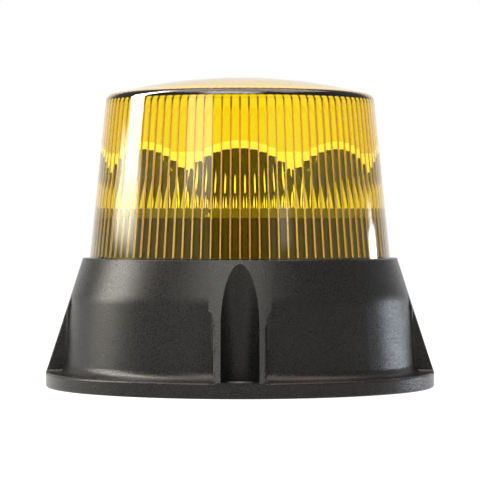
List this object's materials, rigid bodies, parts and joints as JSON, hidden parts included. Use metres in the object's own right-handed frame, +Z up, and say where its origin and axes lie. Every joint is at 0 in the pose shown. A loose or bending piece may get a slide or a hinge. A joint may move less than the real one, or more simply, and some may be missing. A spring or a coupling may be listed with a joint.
{
  "type": "warning beacon",
  "caption": "Low round warning beacon: black flanged base with bolt channels, a clear amber fluted lens that unscrews on a quick thread, and a ring of arched mirrors over an LED board.",
  "frame": {"origin": "centre of the underside of the base, on the mounting plane", "axes": "+Z up along the beacon's axis, -Y towards the front bolt channel"},
  "size_m": [0.165, 0.165, 0.1309],
  "materials": {
    "housing_black": "black, fine spark-eroded grain",
    "cover_black": "black, smooth matt",
    "zinc_steel": "zinc plated",
    "stainless": "stainless",
    "insert_brass": "plain brass",
    "seal_rubber": "soft moulded rubber",
    "grommet_rubber": "soft moulded rubber",
    "vent_plastic": "smooth moulded",
    "board_green": "solder mask on glass fibre",
    "board_black": "black solder mask on an aluminium core",
    "capacitor_can": "sleeved can",
    "ferrite": "dull ferrite",
    "chip_black": "moulded epoxy",
    "terminal_green": "moulded",
    "fuse_ceramic": "glazed tube",
    "sink_black": "black anodised",
    "pad_grey": "soft heat-conducting sheet",
    "led_ceramic": "phosphor on white ceramic",
    "led_silicone": "clear silicone dome",
    "floor_grey": "satin dark grey moulding",
    "mirror_silver": "metallised moulding",
    "amber_lens": "clear amber polycarbonate, polished outside, fluted inside"
  },
  "bodies": {
    "base": {"base_housing": "housing_black", "mounting_sleeves": "zinc_steel", "bottom_cover": "cover_black", "cover_gasket": "seal_rubber", "cover_screws": "stainless", "cover_inserts": "insert_brass", "cable_grommet": "grommet_rubber", "breather_vent": "vent_plastic", "driver_board": "board_green", "board_screws": "stainless", "capacitors": "capacitor_can", "inductor": "ferrite", "transistors": "chip_black", "terminal_block": "terminal_green", "controller_chip": "chip_black", "fuse_link": "fuse_ceramic", "riser_sockets": "chip_black", "riser_board": "board_green", "heat_sink": "sink_black", "carrier_screws": "stainless", "thermal_pad": "pad_grey", "led_board": "board_black", "led_packages": "led_ceramic", "led_domes": "led_silicone", "mirror_floor": "floor_grey", "mirror_canopy": "mirror_silver", "mirror_screws": "stainless"},
    "seal": {"lens_seal": "seal_rubber"},
    "lens": {"lens": "amber_lens"}
  },
  "joints": [
    {"name": "lens_rise", "type": "slide", "parent": "base", "child": "seal", "axis": [0, 0, 1], "range_m": [0, 0.06]},
    {"name": "lens_turn", "type": "hinge", "parent": "seal", "child": "lens", "pos_m": [0, 0, 0], "axis": [0, 0, 1], "range_deg": [0, 900]}
  ],
  "couplings": [
    {"joint": "lens_rise", "follows": "lens_turn", "m_per_rad": 0.0038197}
  ]
}
